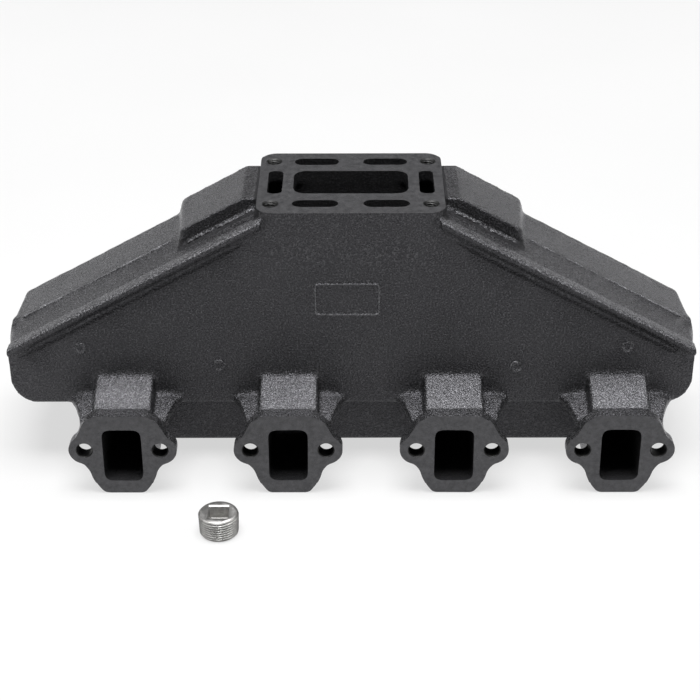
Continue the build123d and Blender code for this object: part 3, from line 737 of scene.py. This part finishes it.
# ------------------------------------------------------------------ chaplets: small heads fused into the walls
def heads(name, places, y, sign, proud):
    """Dished heads with a raised, worn edge."""
    pieces = []
    for x, z in places:
        prof = [(2.0, -5.2), (2.0, -1.4), (3.8, -1.2), (4.35, -0.3)]
        prof += [(r, h * proud) for r, h in ((4.35, 0.35), (4.05, 0.85), (3.6, 1.0), (3.15, 0.8), (2.7, 0.45), (1.8, 0.35), (0.8, 0.4))]
        pieces.append(outward(*lathe((x, y, z), (0, sign, 0), prof, 40, 0.05)))
    return together(name, pieces)


front = heads("front_chaplet_heads", FRONT, 0.0, -1, 0.95)
back = heads("back_chaplet_heads", BACK, 95.3, 1, 0.62)
# the chaplet heads are painted lighter so that their top edges read bright: a painted highlight
for o in (front, back):
    o.data.materials.append(M_HIGHLIT)
    smooth(o, 35)

# ------------------------------------------------------------------ onto the frame
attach(casting, "manifold")
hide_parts(*IRON)
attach(front, "manifold")
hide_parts("front_chaplets")
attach(back, "manifold")
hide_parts("back_chaplets")
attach(plug, "plug")
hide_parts("pipe_plug")

# ------------------------------------------------------------------ floor, light, camera
floor = put("floor", [(-4000, -4000, -0.02), (4000, -4000, -0.02), (4000, 5000, -0.02), (-4000, 5000, -0.02)], [(0, 1, 2, 3)])
m, nt, p, where = blank("pale_floor")
c = ramp(nt, [(0.3, 0.155), (0.7, 0.165)])
nt.links.new(noise_of(nt, where, 3, 2), c.inputs[0])
nt.links.new(c.outputs[0], p.inputs["Base Color"])
p.inputs["Roughness"].default_value = 0.7
p.inputs["Specular IOR Level"].default_value = 0.2
p.inputs["Emission Color"].default_value = (1, 1, 1, 1)
p.inputs["Emission Strength"].default_value = 0.64
floor.data.materials.append(m)

world = bpy.data.worlds.new("studio")
bpy.context.scene.world = world
world.use_nodes = True
world.node_tree.nodes["Background"].inputs["Color"].default_value = (1, 1, 1, 1)
world.node_tree.nodes["Background"].inputs["Strength"].default_value = 0.17


def soft_box(name, at, towards, w, h, power):
    light = bpy.data.lights.new(name, "AREA")
    light.shape = "RECTANGLE"
    light.size, light.size_y = w, h
    light.energy = power
    o = bpy.data.objects.new(name, light)
    bpy.context.scene.collection.objects.link(o)
    o.location = at
    o.rotation_euler = (Vector(at) - Vector(towards)).to_track_quat("Z", "Y").to_euler()
    return o


soft_box("overhead", (0.0, -0.25, 3.0), (0, 0, 0), 2.0, 1.6, 188)
soft_box("high_left", (-2.0, 0.0, 2.1), (0, 0, 0.1), 1.2, 1.2, 14)
soft_box("high_right", (2.0, 0.0, 2.1), (0, 0, 0.1), 1.2, 1.2, 14)
soft_box("back_left", (-1.3, 2.4, 0.85), (0, 0, 0.1), 1.0, 0.6, 1.6)
soft_box("back_right", (1.3, 2.4, 0.85), (0, 0, 0.1), 1.0, 0.6, 1.6)

cam = bpy.data.cameras.new("camera")
cam.sensor_width, cam.lens = 36.0, 1711.0 / 700 * 36.0
cam.clip_start, cam.clip_end = 0.05, 40
camera = bpy.data.objects.new("camera", cam)
bpy.context.scene.collection.objects.link(camera)
yaw, pitch, roll = -0.0054, math.radians(29.918), math.radians(0.239)
fwd = Vector((math.sin(yaw) * math.cos(pitch), math.cos(yaw) * math.cos(pitch), -math.sin(pitch)))
right = Vector((math.cos(yaw), -math.sin(yaw), 0))
down = fwd.cross(right)
r2 = right * math.cos(roll) + down * math.sin(roll)
d2 = -right * math.sin(roll) + down * math.cos(roll)
camera.matrix_world = Matrix((
    (r2.x, -d2.x, -fwd.x, 0.00456),
    (r2.y, -d2.y, -fwd.y, -0.99733),
    (r2.z, -d2.z, -fwd.z, 0.66389),
    (0, 0, 0, 1),
))
bpy.context.scene.camera = camera
bpy.context.scene.view_settings.view_transform = "Standard"

tick("done")
